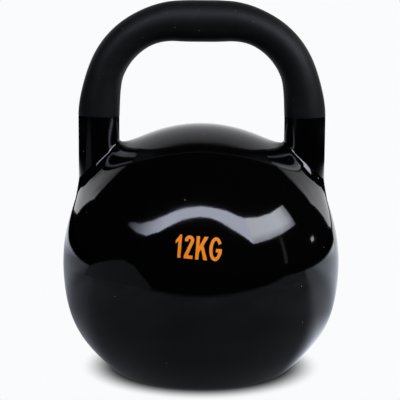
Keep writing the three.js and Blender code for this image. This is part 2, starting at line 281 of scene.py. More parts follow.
class KettlebellStudio(PropertyGroup):
    """The camera and the lights."""

    lens: FloatProperty(
        name="Lens",
        description="Focal length on a 36 mm sensor",
        default=138.2,
        min=1,
        subtype="DISTANCE_CAMERA",
    )
    camera_distance: FloatProperty(
        name="Camera distance", description="From the kettlebell's axis", default=1.15, unit="LENGTH"
    )
    camera_height: FloatProperty(
        name="Camera height", description="Above the floor", default=0.33, unit="LENGTH"
    )
    camera_pitch: FloatProperty(
        name="Camera pitch",
        description="How far the camera looks down",
        default=radians(9.91),
        subtype="ANGLE",
    )
    camera_roll: FloatProperty(
        name="Camera roll",
        description="How far the camera leans",
        default=radians(0.35),
        subtype="ANGLE",
    )
    camera_aside: FloatProperty(
        name="Camera offset", description="To the right of the axis", default=-1.05 * MM, unit="LENGTH"
    )
    softbox: FloatProperty(
        name="Softboxes", description="Radiance of the two softboxes in front", default=10, min=0
    )
    backdrop: FloatProperty(
        name="Backdrop", description="Radiance of the paper behind, at its foot", default=1.4, min=0
    )
    floor: FloatVectorProperty(
        name="Floor", description="Floor and background", subtype="COLOR", default=linear("FAFBFC")
    )


# ---- Meshes ----------------------------------------------------------------------------------------


def is_closed(mesh):
    """Whether a mesh has faces, and each of its edges joins exactly two of them."""
    shape = bmesh.new()
    shape.from_mesh(mesh)
    closed = len(shape.faces) > 0 and all(edge.is_manifold for edge in shape.edges)
    shape.free()
    return closed


def add_piece(name, mesh, material, nodes, smooth=radians(30)):
    """Shows a finished mesh as a piece of the kettlebell that stands for its CAD nodes."""
    if not is_closed(mesh):
        raise RuntimeError(f"{name} isn't a closed solid")
    for polygon in mesh.polygons:
        polygon.use_smooth = True
    mesh.set_sharp_from_angle(angle=smooth)
    mesh.materials.append(material)
    piece = bpy.data.objects.new(name, mesh)
    bpy.context.scene.collection.objects.link(piece)
    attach(piece, ROOT)
    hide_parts(*nodes)


def mesh_from(shape, name):
    """Makes a mesh of a bmesh, with its faces pointing out."""
    bmesh.ops.recalc_face_normals(shape, faces=shape.faces)
    mesh = bpy.data.meshes.new(name)
    shape.to_mesh(mesh)
    shape.free()
    return mesh


def skin(name, rings, closed):
    """Skins a row of point rings into a closed mesh.

    With closed the last ring joins the first, and without it each end ring is a single repeated point.
    """
    shape = bmesh.new()
    rows = []
    for ring in rings:
        if np.ptp(ring, axis=0).max() < NO_LENGTH:
            rows.append([shape.verts.new(ring[0])] * len(ring))
        else:
            rows.append([shape.verts.new(point) for point in ring])
    pairs = list(zip(rows, rows[1:]))
    if closed:
        pairs.append((rows[-1], rows[0]))
    for row, following in pairs:
        for i in range(len(row)):
            j = (i + 1) % len(row)
            corners = [row[i], row[j], following[j], following[i]]
            shape.faces.new(list(dict.fromkeys(corners)))
    return mesh_from(shape, name)


def turned(profile, around):
    """Rings of a solid of revolution about Z, one for each (radius, height) of its profile."""
    angles = np.arange(around) * 2 * pi / around
    return [
        np.stack([radius * np.cos(angles), radius * np.sin(angles), np.full(around, z)], 1)
        for radius, z in profile
    ]


def arc(centre_r, centre_z, radius, start, end, steps):
    """Points of an arc in a profile, from one angle to another."""
    return [
        (centre_r + radius * cos(angle), centre_z + radius * sin(angle))
        for angle in np.linspace(start, end, steps + 1)
    ]


def cut(mesh, cutter):
    """Cuts one mesh out of another and returns what is left, closed and ready to export."""
    objects = [bpy.data.objects.new(data.name, data) for data in (mesh, cutter)]
    for item in objects:
        bpy.context.scene.collection.objects.link(item)
    boolean = objects[0].modifiers.new("cut", "BOOLEAN")
    boolean.operation = "DIFFERENCE"
    boolean.solver = "EXACT"
    boolean.object = objects[1]
    depsgraph = bpy.context.evaluated_depsgraph_get()
    left = bpy.data.meshes.new_from_object(objects[0].evaluated_get(depsgraph))
    for item in objects:
        bpy.data.objects.remove(item)
    left.name = mesh.name
    if not left.polygons:
        raise RuntimeError(f"cutting {mesh.name} left nothing")
    shape = bmesh.new()
    shape.from_mesh(left)
    # The cut can leave doubled points, which would open the mesh by a sliver of no width
    bmesh.ops.remove_doubles(shape, verts=shape.verts, dist=WELD_GAP)
    # Two many-sided faces side by side could otherwise be split along the same line when exported
    many_sided = [face for face in shape.faces if len(face.verts) > 4]
    bmesh.ops.triangulate(shape, faces=many_sided, quad_method="BEAUTY", ngon_method="BEAUTY")
    shape.to_mesh(left)
    shape.free()
    return left


# ---- The ball's surface ----------------------------------------------------------------------------


def smoothstep(value, low, high):
    """Eases from 0 to 1 as a value goes from low to high."""
    share = np.clip((value - low) / (high - low), 0, 1)
    return share * share * (3 - 2 * share)


def shoulder_rise(direction, sizes):
    """How far the ball stands outside its sphere, for unit directions from its centre.

    It stands out a little at the crown and more near the legs. Seen from the ball's centre the line
    where a leg meets the swollen surface is nearly an ellipse. The swelling is full inside that line and
    fades with the distance from it.
    """
    fade_latitude = radians(12)
    crown_starts, crown_full = radians(38), radians(60)
    falloff = 0.8
    crease_r = BALL_R + (sizes.shoulder_in + sizes.shoulder_out) / 2
    inner = asin((LEG_X - LEG_R) / crease_r)
    outer = asin((LEG_X + LEG_R) / crease_r)
    across = crease_r * (np.arctan2(np.abs(direction[:, 0]), direction[:, 2]) - (inner + outer) / 2)
    along = crease_r * np.arcsin(np.clip(direction[:, 1], -1, 1))
    reach = np.hypot(across, along) + NO_LENGTH
    share = np.maximum(np.hypot(across / (crease_r * (outer - inner) / 2), along / LEG_R), 1)
    clear = reach * (1 - 1 / share)
    side_fade = np.where(across > 0, sizes.reach_out, sizes.reach_in)
    fade = np.hypot(across / reach * side_fade, along / reach * sizes.reach_front)
    latitude = np.arcsin(np.clip(direction[:, 2], -1, 1))
    swell = np.exp(-((clear / fade) ** falloff))
    outward = (across / reach + 1) / 2
    rise = sizes.shoulder_in + (sizes.shoulder_out - sizes.shoulder_in) * outward
    crown = sizes.crown * smoothstep(latitude, crown_starts, crown_full)
    return crown + rise * swell * smoothstep(latitude, 0, fade_latitude)


def ball_rings(latitudes, around, sizes):
    """Rings of the upper shell's outer surface."""
    angles = np.arange(around) * 2 * pi / around
    rings = []
    for latitude in latitudes:
        direction = np.stack(
            [
                cos(latitude) * np.cos(angles),
                cos(latitude) * np.sin(angles),
                np.full(around, sin(latitude)),
            ],
            1,
        )
        radius = BALL_R + shoulder_rise(direction, sizes)
        rings.append(direction * radius[:, None] + (0, 0, SEAM_Z))
    return rings


def surface_height(x, y, sizes):
    """Height of the upper shell's surface over points of the plan, found by closing in on it."""
    rounds = 30
    height = np.zeros(len(x))
    reach = np.full(len(x), BALL_R + sizes.shoulder_out)
    for _ in range(rounds):
        height = np.sqrt(np.maximum(reach**2 - x**2 - y**2, 0))
        direction = np.stack([x, y, height], 1)
        direction /= np.linalg.norm(direction, axis=1)[:, None]
        reach = BALL_R + shoulder_rise(direction, sizes)
    return height + SEAM_Z


def foot_radius(sizes):
    """Radius of the flat that the kettlebell stands on."""
    return sqrt((BALL_R - sizes.foot_round) ** 2 - (SEAM_Z - sizes.foot_round) ** 2)


def lower_wall(latitude, sizes):
    """A point (radius, height) of the lower shell's outer profile."""
    top, bottom = radians(-3), radians(-48)
    share = min(max((latitude - top) / (bottom - top), 0), 1)
    reach = BALL_R + sizes.fullness * sin(pi * share) ** 2
    return reach * cos(latitude), SEAM_Z + reach * sin(latitude)


# ---- The handle's centreline -----------------------------------------------------------------------


def handle_place(distance, sizes):
    """Place (x, z) and downward turn at a distance along the centreline from the middle of the bar."""
    main_angle = pi / 2 - sizes.easy_angle
    main_end = sizes.bar_half + sizes.main_bend * main_angle
    leg_start = main_end + sizes.easy_bend * sizes.easy_angle
    along = abs(distance)
    turn = min(max(along - sizes.bar_half, 0) / sizes.main_bend, main_angle)
    x = min(along, sizes.bar_half) + sizes.main_bend * sin(turn)
    z = BAR_Z - sizes.main_bend * (1 - cos(turn))
    if along > main_end:
        turn = min(main_angle + (along - main_end) / sizes.easy_bend, pi / 2)
        x += sizes.easy_bend * (sin(turn) - sin(main_angle))
        z -= sizes.easy_bend * (cos(main_angle) - cos(turn))
    z -= max(along - leg_start, 0)
    return (x if distance > 0 else -x), z, (turn if distance > 0 else -turn)


def leg_start_distance(sizes):
    """Distance along the centreline at which a leg becomes straight."""
    main_length = sizes.main_bend * (pi / 2 - sizes.easy_angle)
    return sizes.bar_half + main_length + sizes.easy_bend * sizes.easy_angle


def sleeve_end_distance(sizes):
    """Distance along the centreline at which the sleeve stops."""
    start = leg_start_distance(sizes)
    drop = sizes.sleeve_end - handle_place(start, sizes)[1]
    return start - sizes.easy_bend * asin(drop / sizes.easy_bend)


def bend_squeeze(along, sizes):
    """How far the section is pressed in, in the plane of the bend."""
    starts, full, eases, ends = 7 * MM, 49 * MM, 85 * MM, 120 * MM
    return sizes.squeeze * smoothstep(along, starts, full) * (1 - smoothstep(along, eases, ends))


def handle_ring(distance, radius, around, sizes):
    """One ring of points round the centreline."""
    x, z, turn = handle_place(distance, sizes)
    angles = np.arange(around) * 2 * pi / around
    rise = (radius - bend_squeeze(abs(distance), sizes)) * np.cos(angles)
    return np.stack([x + rise * sin(turn), radius * np.sin(angles), z + rise * cos(turn)], 1)


# ---- Materials -------------------------------------------------------------------------------------


def add_node(tree, kind, props=None, values=None, links=None):
    """Adds a node with its properties, its sockets' values and the links into it."""
    made = tree.nodes.new(kind)
    for name, value in (props or {}).items():
        setattr(made, name, value)
    for name, value in (values or {}).items():
        made.inputs[name].default_value = value
    for name, source in (links or {}).items():
        tree.links.new(source, made.inputs[name])
    return made


def new_material(name):
    """An empty node material, with its tree and the frame's coordinates in metres."""
    material = bpy.data.materials.new(name)
    material.use_nodes = True
    tree = material.node_tree
    tree.nodes.clear()
    place = add_node(tree, "ShaderNodeTexCoord").outputs["Object"]
    return material, tree, place


def per_mm(size):
    """Texture scale, in cycles per metre, of a pattern with this size in millimetres."""
    return 1 / (size * MM)


def stoved_enamel(colours):
    """Black stoved enamel, sprayed over ground steel.

    To the eye: near-black and very glossy, with a fine orange peel about 1.6 mm across that frays the
    edges of reflections, a slow waviness from the grinding under it, faint handling haze, and dust
    specks baked into the film.
    """
    material, tree, place = new_material("stoved_enamel")
    peel, wave, haze = [
        add_node(
            tree,
            "ShaderNodeTexNoise",
            values={"Scale": per_mm(size), "Detail": detail},
            links={"Vector": place},
        )
        for size, detail in ((1.6, 2), (28, 1), (35, 4))
    ]
    gloss = add_node(
        tree,
        "ShaderNodeMapRange",
        values={"From Min": 0.35, "From Max": 0.75, "To Min": 0.045, "To Max": 0.085},
        links={"Value": haze.outputs["Fac"]},
    )
    # The film is drier close under the grip, where the masking kept the spray thin
    height = add_node(tree, "ShaderNodeSeparateXYZ", links={"Vector": place})
    dry = add_node(
        tree,
        "ShaderNodeMapRange",
        values={"From Min": TUBE_DRY_LOW, "From Max": TUBE_DRY_HIGH, "To Min": 0, "To Max": 0.09},
        links={"Value": height.outputs["Z"]},
    )
    roughness = add_node(
        tree,
        "ShaderNodeMath",
        props={"operation": "ADD"},
        links={0: gloss.outputs["Result"], 1: dry.outputs["Result"]},
    )
    # Specks about 0.5 mm across; the cells are 11 mm, and few of their centres lie in the film
    cells = add_node(tree, "ShaderNodeTexVoronoi", values={"Scale": per_mm(11)}, links={"Vector": place})
    speck = add_node(
        tree,
        "ShaderNodeMapRange",
        values={"From Min": 0.034, "From Max": 0.02, "To Min": 0, "To Max": 1},
        links={"Value": cells.outputs["Distance"]},
    )
    tint = add_node(
        tree,
        "ShaderNodeMix",
        props={"data_type": "RGBA"},
        values={"A": (*colours.enamel, 1), "B": (*linear("9A9A98"), 1)},
        links={"Factor": speck.outputs["Result"]},
    )
    slow = add_node(
        tree,
        "ShaderNodeBump",
        values={"Strength": 1, "Distance": 0.02 * MM},
        links={"Height": wave.outputs["Fac"]},
    )
    fine = add_node(
        tree,
        "ShaderNodeBump",
        values={"Strength": 1, "Distance": 0.006 * MM},
        links={"Height": peel.outputs["Fac"], "Normal": slow.outputs["Normal"]},
    )
    shader = add_node(
        tree,
        "ShaderNodeBsdfPrincipled",
        values={"IOR": 1.5},
        links={
            "Base Color": tint.outputs["Result"],
            "Roughness": roughness.outputs[0],
            "Normal": fine.outputs["Normal"],
        },
    )
    add_node(tree, "ShaderNodeOutputMaterial", links={"Surface": shader.outputs[0]})
    return material


def moulded_rubber(colours):
    """Matt black nitrile rubber, moulded in a spark-eroded tool.

    To the eye: a soft, even grey-black with no mirror highlight, a fine grain, and faint pale smears of
    chalk where hands have been.
    """
    material, tree, place = new_material("moulded_rubber")
    # The real grain is too fine to show, so it is drawn 0.7 mm coarse
    grain = add_node(
        tree, "ShaderNodeTexNoise", values={"Scale": per_mm(0.7), "Detail": 3}, links={"Vector": place}
    )
    smear = add_node(
        tree,
        "ShaderNodeTexNoise",
        values={"Scale": per_mm(14), "Detail": 5, "Roughness": 0.6},
        links={"Vector": place},
    )
    chalk = add_node(
        tree,
        "ShaderNodeMapRange",
        values={"From Min": 0.5, "From Max": 0.8, "To Min": 0, "To Max": 0.12},
        links={"Value": smear.outputs["Fac"]},
    )
    tint = add_node(
        tree,
        "ShaderNodeMix",
        props={"data_type": "RGBA"},
        values={"A": (*colours.rubber, 1), "B": (*linear("3C3D3E"), 1)},
        links={"Factor": chalk.outputs["Result"]},
    )
    roughness = add_node(
        tree,
        "ShaderNodeMapRange",
        values={"To Min": 0.48, "To Max": 0.6},
        links={"Value": grain.outputs["Fac"]},
    )
    bump = add_node(
        tree,
        "ShaderNodeBump",
        values={"Strength": 1, "Distance": 0.05 * MM},
        links={"Height": grain.outputs["Fac"]},
    )
    # Lint and chalk dust, in specks about 0.4 mm across
    cells = add_node(tree, "ShaderNodeTexVoronoi", values={"Scale": per_mm(7)}, links={"Vector": place})
    speck = add_node(
        tree,
        "ShaderNodeMapRange",
        values={"From Min": 0.045, "From Max": 0.02, "To Min": 0, "To Max": 1},
        links={"Value": cells.outputs["Distance"]},
    )
    dusty = add_node(
        tree,
        "ShaderNodeMix",
        props={"data_type": "RGBA"},
        values={"B": (*linear("8C8E90"), 1)},
        links={"Factor": speck.outputs["Result"], "A": tint.outputs["Result"]},
    )
    shader = add_node(
        tree,
        "ShaderNodeBsdfPrincipled",
        values={"IOR": 1.52, "Specular IOR Level": 0.22},
        links={
            "Base Color": dusty.outputs["Result"],
            "Roughness": roughness.outputs["Result"],
            "Normal": bump.outputs["Normal"],
        },
    )
    add_node(tree, "ShaderNodeOutputMaterial", links={"Surface": shader.outputs[0]})
    return material


def screen_ink(colours):
    """Opaque orange screen ink, pad printed.

    To the eye: a flat bright orange, a little less glossy than the enamel, slightly thinner and darker
    in patches about 3 mm across.
    """
    material, tree, place = new_material("screen_ink")
    patches = add_node(
        tree, "ShaderNodeTexNoise", values={"Scale": per_mm(3), "Detail": 3}, links={"Vector": place}
    )
    thin = add_node(
        tree,
        "ShaderNodeMapRange",
        values={"From Min": 0.4, "From Max": 0.75, "To Min": 0, "To Max": 0.3},
        links={"Value": patches.outputs["Fac"]},
    )
    tint = add_node(
        tree,
        "ShaderNodeMix",
        props={"data_type": "RGBA"},
        values={"A": (*colours.ink, 1), "B": (*linear("F57C04"), 1)},
        links={"Factor": thin.outputs["Result"]},
    )
    shader = add_node(
        tree,
        "ShaderNodeBsdfPrincipled",
        values={"IOR": 1.48, "Roughness": 0.5, "Specular IOR Level": 0.3},
        links={"Base Color": tint.outputs["Result"]},
    )
    add_node(tree, "ShaderNodeOutputMaterial", links={"Surface": shader.outputs[0]})
    return material


def rolled_steel(colours):
    """Hot-rolled mild steel with its mill scale.

    To the eye: dull blue-grey metal, mottled over 6 mm patches.
    """
    material, tree, place = new_material("rolled_steel")
    scale = add_node(
        tree, "ShaderNodeTexNoise", values={"Scale": per_mm(6), "Detail": 6}, links={"Vector": place}
    )
    tint = add_node(
        tree,
        "ShaderNodeMix",
        props={"data_type": "RGBA"},
        values={"A": (*colours.steel, 1), "B": (*linear("47433F"), 1)},
        links={"Factor": scale.outputs["Fac"]},
    )
    roughness = add_node(
        tree,
        "ShaderNodeMapRange",
        values={"To Min": 0.4, "To Max": 0.75},
        links={"Value": scale.outputs["Fac"]},
    )
    shader = add_node(
        tree,
        "ShaderNodeBsdfPrincipled",
        values={"Metallic": 1},
        links={"Base Color": tint.outputs["Result"], "Roughness": roughness.outputs["Result"]},
    )
    add_node(tree, "ShaderNodeOutputMaterial", links={"Surface": shader.outputs[0]})
    return material


def zinc_plate(colours):
    """Bright zinc plate over a turned steel plug.

    To the eye: a pale silver metal with faint turning rings.
    """
    material, tree, place = new_material("zinc_plate")
    # The tool's real feed is too fine to show, so the rings are drawn about 2.5 mm apart
    ring_spacing = 2.513
    waves_per_unit = 20 / (2 * pi)  # what the wave texture draws in one unit at a scale of 1
    rings = add_node(
        tree,
        "ShaderNodeTexWave",
        props={"wave_type": "RINGS", "rings_direction": "Z"},
        values={"Scale": per_mm(ring_spacing) / waves_per_unit, "Distortion": 0.4},
        links={"Vector": place},
    )
    clouds = add_node(
        tree, "ShaderNodeTexNoise", values={"Scale": per_mm(5), "Detail": 4}, links={"Vector": place}
    )
    roughness = add_node(
        tree,
        "ShaderNodeMapRange",
        values={"To Min": 0.22, "To Max": 0.42},
        links={"Value": clouds.outputs["Fac"]},
    )
    tint = add_node(
        tree,
        "ShaderNodeMix",
        props={"data_type": "RGBA"},
        values={"A": (*colours.zinc, 1), "B": (*linear("8F9196"), 1)},
        links={"Factor": clouds.outputs["Fac"]},
    )
    bump = add_node(
        tree,
        "ShaderNodeBump",
        values={"Strength": 0.4, "Distance": 0.01 * MM},
        links={"Height": rings.outputs["Fac"]},
    )
    shader = add_node(
        tree,
        "ShaderNodeBsdfPrincipled",
        values={"Metallic": 1},
        links={
            "Base Color": tint.outputs["Result"],
            "Roughness": roughness.outputs["Result"],
            "Normal": bump.outputs["Normal"],
        },
    )
    add_node(tree, "ShaderNodeOutputMaterial", links={"Surface": shader.outputs[0]})
    return material


def cast_cement(colours):
    """Cement mortar with iron grit, poured and left to set.

    To the eye: a chalky warm grey with dark grit about 1 mm across, 2 mm apart, and an uneven face.
    """
    material, tree, place = new_material("cast_cement")
    grit = add_node(tree, "ShaderNodeTexVoronoi", values={"Scale": per_mm(2)}, links={"Vector": place})
    clouds = add_node(
        tree, "ShaderNodeTexNoise", values={"Scale": per_mm(18), "Detail": 6}, links={"Vector": place}
    )
    grains = add_node(
        tree,
        "ShaderNodeMapRange",
        values={"From Min": 0.1, "From Max": 0.35, "To Min": 0.7, "To Max": 0},
        links={"Value": grit.outputs["Distance"]},
    )
    tint = add_node(
        tree,
        "ShaderNodeMix",
        props={"data_type": "RGBA"},
        values={"A": (*colours.cement, 1), "B": (*linear("45423E"), 1)},
        links={"Factor": grains.outputs["Result"]},
    )
    bump = add_node(
        tree,
        "ShaderNodeBump",
        values={"Strength": 0.6, "Distance": 0.5 * MM},
        links={"Height": clouds.outputs["Fac"]},
    )
    shader = add_node(
        tree,
        "ShaderNodeBsdfPrincipled",
        values={"Roughness": 0.92, "IOR": 1.5},
        links={"Base Color": tint.outputs["Result"], "Normal": bump.outputs["Normal"]},
    )
    add_node(tree, "ShaderNodeOutputMaterial", links={"Surface": shader.outputs[0]})
    return material


MATERIALS = {
    "black_enamel": stoved_enamel,
    "grip_rubber": moulded_rubber,
    "nitrile": moulded_rubber,
    "orange_ink": screen_ink,
    "bare_steel": rolled_steel,
    "zinced_steel": zinc_plate,
    "cement": cast_cement,
}


def finish_of(slot, context):
    """The material of a slot of the record, made the first time that it is asked for."""
    maker = MATERIALS[slot]
    known = bpy.data.materials.get(maker.__name__)
    return known or maker(context.scene.kettlebell_colours)


# ---- Pieces ----------------------------------------------------------------------------------------


class KETTLEBELL_OT_shells(Operator):
    """Build the two pressed shells and the ground weld that joins them"""

    bl_idname = "kettlebell.shells"
    bl_label = "Ball Shells"

    around = 360
    hole_around = 96
    outer_rings = 90
    cavity_rings = 45
    wall_rings = 60
    foot_steps = 10
    floor_steps = 24
    bead_steps = 4
    seam_latitudes = [0.2, 0.6, 1.3]  # degrees past the weld, close together so that no line shows

    def execute(self, context):
        sizes = context.scene.kettlebell_sizes
        enamel = finish_of("black_enamel", context)
        weld_edge = asin(SEAM_HALF / BALL_R)
        groove_r = BALL_R - sizes.groove
        cavity_r = BALL_R - sizes.wall

        near_seam = [weld_edge + radians(step) for step in [0, *self.seam_latitudes]]
        rest = np.linspace(near_seam[-1], pi / 2, self.outer_rings + 1)[1:]
        outside = ball_rings(near_seam[::-1], self.around, sizes)
        outside = ball_rings(rest[::-1], self.around, sizes) + outside
        lip = turned([(groove_r, SEAM_Z), (cavity_r, SEAM_Z)], self.around)
        inside = turned(arc(0, SEAM_Z, cavity_r, 0, pi / 2, self.cavity_rings)[1:], self.around)
        upper = skin("upper_shell", outside + lip + inside, closed=False)
        hole = turned(
            [(0, TUBE_END_Z), (LEG_R, TUBE_END_Z), (LEG_R, SLEEVE_LOW.z), (0, SLEEVE_LOW.z)],
            self.hole_around,
        )
        for side in (-1, 1):
            cutter = skin("leg_hole", [ring + (side * LEG_X, 0, 0) for ring in hole], closed=False)
            upper = cut(upper, cutter)
        add_piece("ball_upper_shell", upper, enamel, ["upper_shell"])

        foot_centre = foot_radius(sizes)
        foot_latitude = atan2(sizes.foot_round - SEAM_Z, foot_centre)
        floor_latitude = -asin((SEAM_Z - sizes.floor) / cavity_r)
        wall_latitudes = [-latitude for latitude in near_seam[:-1]]
        wall_latitudes += list(np.linspace(-near_seam[-1], foot_latitude, self.wall_rings))
        profile = [lower_wall(latitude, sizes) for latitude in wall_latitudes]
        foot_edge = arc(
            foot_centre, sizes.foot_round, sizes.foot_round, foot_latitude, -pi / 2, self.foot_steps
        )
        profile += foot_edge[1:]
        profile += [(BOSS_HIGH.x, 0), (BOSS_HIGH.x, sizes.floor)]
        profile += arc(0, SEAM_Z, cavity_r, floor_latitude, 0, self.floor_steps)
        profile += [(groove_r, SEAM_Z)]
        lower = skin("lower_shell", turned(profile, self.around), closed=True)
        add_piece("ball_lower_shell", lower, enamel, ["lower_shell"])

        bead = arc(0, SEAM_Z, BALL_R, -weld_edge, weld_edge, self.bead_steps) + [(groove_r, SEAM_Z)]
        weld = skin("seam_weld", turned(bead, self.around), closed=True)
        add_piece("seam_weld_bead", weld, enamel, ["equator_weld"])
        return {"FINISHED"}


class KETTLEBELL_OT_handle(Operator):
    """Build the bent steel tube and the rubber sleeve that is let into it"""

    bl_idname = "kettlebell.handle"
    bl_label = "Handle and Grip"

    around = 72
    ring_step = 2.5 * MM
    clearance = 0.05 * MM  # between the sleeve and the tube's turned-down core
    shoulder_run = 0.1 * MM
    lip = 0.35 * MM  # rounding of the sleeve's ends
    lip_steps = 5
    leg_rings = 24

    def stations(self, last):
        """Distances of rings along the centreline, evenly out to the same place on both legs."""
        steps = round(last / self.ring_step)
        return list(np.linspace(-last, last, 2 * steps + 1))

    def execute(self, context):
        sizes = context.scene.kettlebell_sizes
        sleeve_end = sleeve_end_distance(sizes)
        start = leg_start_distance(sizes)
        tube_end = start + handle_place(start, sizes)[1] - TUBE_END_Z
        core_r = GRIP_R - sizes.sleeve_wall - self.clearance
        bore_r = LEG_R - sizes.tube_wall
        step = sleeve_end + self.clearance

        core = [(s, core_r) for s in self.stations(step - self.shoulder_run)]
        leg = [(s, LEG_R) for s in np.linspace(step, tube_end, self.leg_rings)]
        outside = [(-s, r) for s, r in reversed(leg)] + core + leg
        rings = [handle_ring(s, r, self.around, sizes) for s, r in outside]
        back = reversed(self.stations(tube_end))
        rings += [handle_ring(s, bore_r, self.around, sizes) for s in back]
        tube = skin("handle_tube", rings, closed=True)
        enamel = finish_of("black_enamel", context)
        add_piece("handle_bent_tube", tube, enamel, ["handle_tube"])

        flat = self.stations(sleeve_end - self.lip)
        rounding = [
            (flat[-1] + self.lip * sin(angle), GRIP_R - self.lip * (1 - cos(angle)))
            for angle in np.linspace(0, pi / 2, self.lip_steps + 1)[1:]
        ]
        outside = [(-s, r) for s, r in reversed(rounding)] + [(s, GRIP_R) for s in flat] + rounding
        rings = [handle_ring(s, r, self.around, sizes) for s, r in outside]
        inner_r = GRIP_R - sizes.sleeve_wall
        back = reversed(self.stations(sleeve_end))
        rings += [handle_ring(s, inner_r, self.around, sizes) for s in back]
        sleeve = skin("grip_sleeve", rings, closed=True)
        rubber = finish_of("grip_rubber", context)
        add_piece(
            "grip_rubber_sleeve", sleeve, rubber, ["grip_sleeve"], smooth=radians(50)
        )
        return {"FINISHED"}


class KETTLEBELL_OT_leg_welds(Operator):
    """Build the painted weld fillet round each leg"""

    bl_idname = "kettlebell.leg_welds"
    bl_label = "Leg Welds"

    around = 240
    curve_steps = 12
    seed = 1.7
    # Share of the bead's size, waves round the leg, and how far the seed turns them
    unevenness = [(0.10, 3, 1), (0.06, 7, 2.1), (0.03, 41, 0)]

    def fillet_size(self, angles, seed):
        """The bead's size round the leg, uneven as a hand-run weld is under its paint."""
        return 1 + sum(
            share * np.sin(waves * angles + turn * seed) for share, waves, turn in self.unevenness
        )

    def execute(self, context):
        sizes = context.scene.kettlebell_sizes
        enamel = finish_of("black_enamel", context)
        angles = np.arange(self.around) * 2 * pi / self.around
        for name, side in (("left", -1), ("right", 1)):
            size = sizes.fillet * self.fillet_size(angles, self.seed * side)

            def on_shell(radius):
                """Points of the shell's surface round this leg, at a radius from its axis."""
                x = side * LEG_X + radius * np.cos(angles)
                y = radius * np.sin(angles)
                return np.stack([x, y, surface_height(x, y, sizes)], 1)

            crease = on_shell(np.full(self.around, LEG_R))
            toe = on_shell(LEG_R + size)
            wall = crease + np.stack([0 * size, 0 * size, size], 1)
            rings = []
            for t in np.linspace(0, 1, self.curve_steps + 1):
                rings.append((1 - t) ** 2 * wall + 2 * t * (1 - t) * crease + t**2 * toe)
            rings.append(crease)
            bead = skin(f"{name}_leg_weld", rings, closed=True)
            add_piece(f"weld_fillet_{name}", bead, enamel, [f"{name}_leg_weld"])
        return {"FINISHED"}


class KETTLEBELL_OT_mark(Operator):
    """Print the weight mark on the front of the ball"""

    bl_idname = "kettlebell.mark"
    bl_label = "Weight Mark"

    spaces = [0, 2.2 * MM, 1.5 * MM, 0.9 * MM]  # before each character
    point_step = 1.2 * MM  # the film is cut this fine so that it follows the ball

    def execute(self, context):
        sizes = context.scene.kettlebell_sizes
        ink = finish_of("orange_ink", context)
        draws = (draw_1, draw_2, draw_k, draw_g)
        drawn = [draw(sizes.mark_height, sizes.mark_stroke) for draw in draws]
        left = -(sum(width for _, width in drawn) + sum(self.spaces)) / 2
        for node, (outline, width), space in zip(MARK_NODES, drawn, self.spaces):
            left += space
            points = [(x + left, z - sizes.mark_height / 2) for x, z in outline]
            film = self.film(node, points, sizes)
            add_piece(f"printed_{node}", film, ink, [node])
            left += width
        return {"FINISHED"}

    def film(self, name, points, sizes):
        """A closed film of ink on the ball, from a flat outline round the mark's centre."""
        centre_x = (MARK_LOW.x + MARK_HIGH.x) / 2 + sizes.mark_aside
        centre_z = (MARK_LOW.z + MARK_HIGH.z) / 2
        lean_cos, lean_sin = cos(sizes.mark_tilt), sin(sizes.mark_tilt)
        shape = bmesh.new()
        shape.faces.new([shape.verts.new((x, 0, z)) for x, z in points])
        for axis, across in ((0, (1, 0, 0)), (2, (0, 0, 1))):
            places = [point[axis // 2] for point in points]
            for level in np.arange(min(places), max(places), self.point_step)[1:]:
                cut_at = Vector(across) * level
                everything = shape.verts[:] + shape.edges[:] + shape.faces[:]
                bmesh.ops.bisect_plane(shape, geom=everything, plane_co=cut_at, plane_no=across)
        bmesh.ops.triangulate(shape, faces=shape.faces[:])
        grown = bmesh.ops.extrude_face_region(shape, geom=shape.faces[:])
        raised = {item for item in grown["geom"] if isinstance(item, bmesh.types.BMVert)}
        for vert in shape.verts:
            x = centre_x + vert.co.x * lean_cos - vert.co.z * lean_sin
            z = centre_z + vert.co.x * lean_sin + vert.co.z * lean_cos - SEAM_Z
            reach = BALL_R + (sizes.ink if vert in raised else 0)
            vert.co = (x, -sqrt(reach**2 - x**2 - z**2), z + SEAM_Z)
        return mesh_from(shape, name)


def ellipse(centre_x, centre_z, radius_x, radius_z, start, end, steps=20):
    """Points of an elliptical arc in a character."""
    return [
        (centre_x + radius_x * cos(angle), centre_z + radius_z * sin(angle))
        for angle in np.linspace(start, end, steps + 1)
    ]


# Each character returns its outline, from its own left end and baseline, and its width


def draw_1(height, stroke):
    width = 4.2 * MM
    stem = width - stroke
    flag = [(width - 1.2 * MM, height), (0, height - 4.2 * MM), (0, height - 6.4 * MM)]
    return [(stem, 0), (width, 0), (width, height), *flag, (stem, height - 4.6 * MM)], width


def draw_2(height, stroke):
    width = 6.5 * MM
    bowl_r = width / 2
    bowl_z = height - bowl_r
    leaves = -pi / 6
    outer = ellipse(bowl_r, bowl_z, bowl_r, bowl_r, pi, leaves)
    inner = ellipse(bowl_r, bowl_z, bowl_r - stroke, bowl_r - stroke, leaves, pi)
    toe = width - 0.3 * MM
    foot = [(stroke + 0.4 * MM, stroke), (toe, stroke), (toe, 0), (0, 0), (0, stroke - 0.3 * MM)]
    tip = [(stroke, bowl_z - 0.9 * MM), (0, bowl_z - 0.9 * MM)]
    return [*outer, *foot, *inner, *tip], width


def draw_k(height, stroke):
    width = 8.5 * MM
    arm = 2.8 * MM
    top = width - 0.2 * MM
    leg = [(stroke, 0.3 * height), (stroke + 1.4 * MM, 0.45 * height), (width - arm, 0), (width, 0)]
    fork = (stroke + 2.9 * MM, 0.62 * height)
    upper = [fork, (top, height), (top - arm, height), (stroke, 0.58 * height)]
    return [(0, 0), (stroke, 0), *leg, *upper, (stroke, height), (0, height)], width


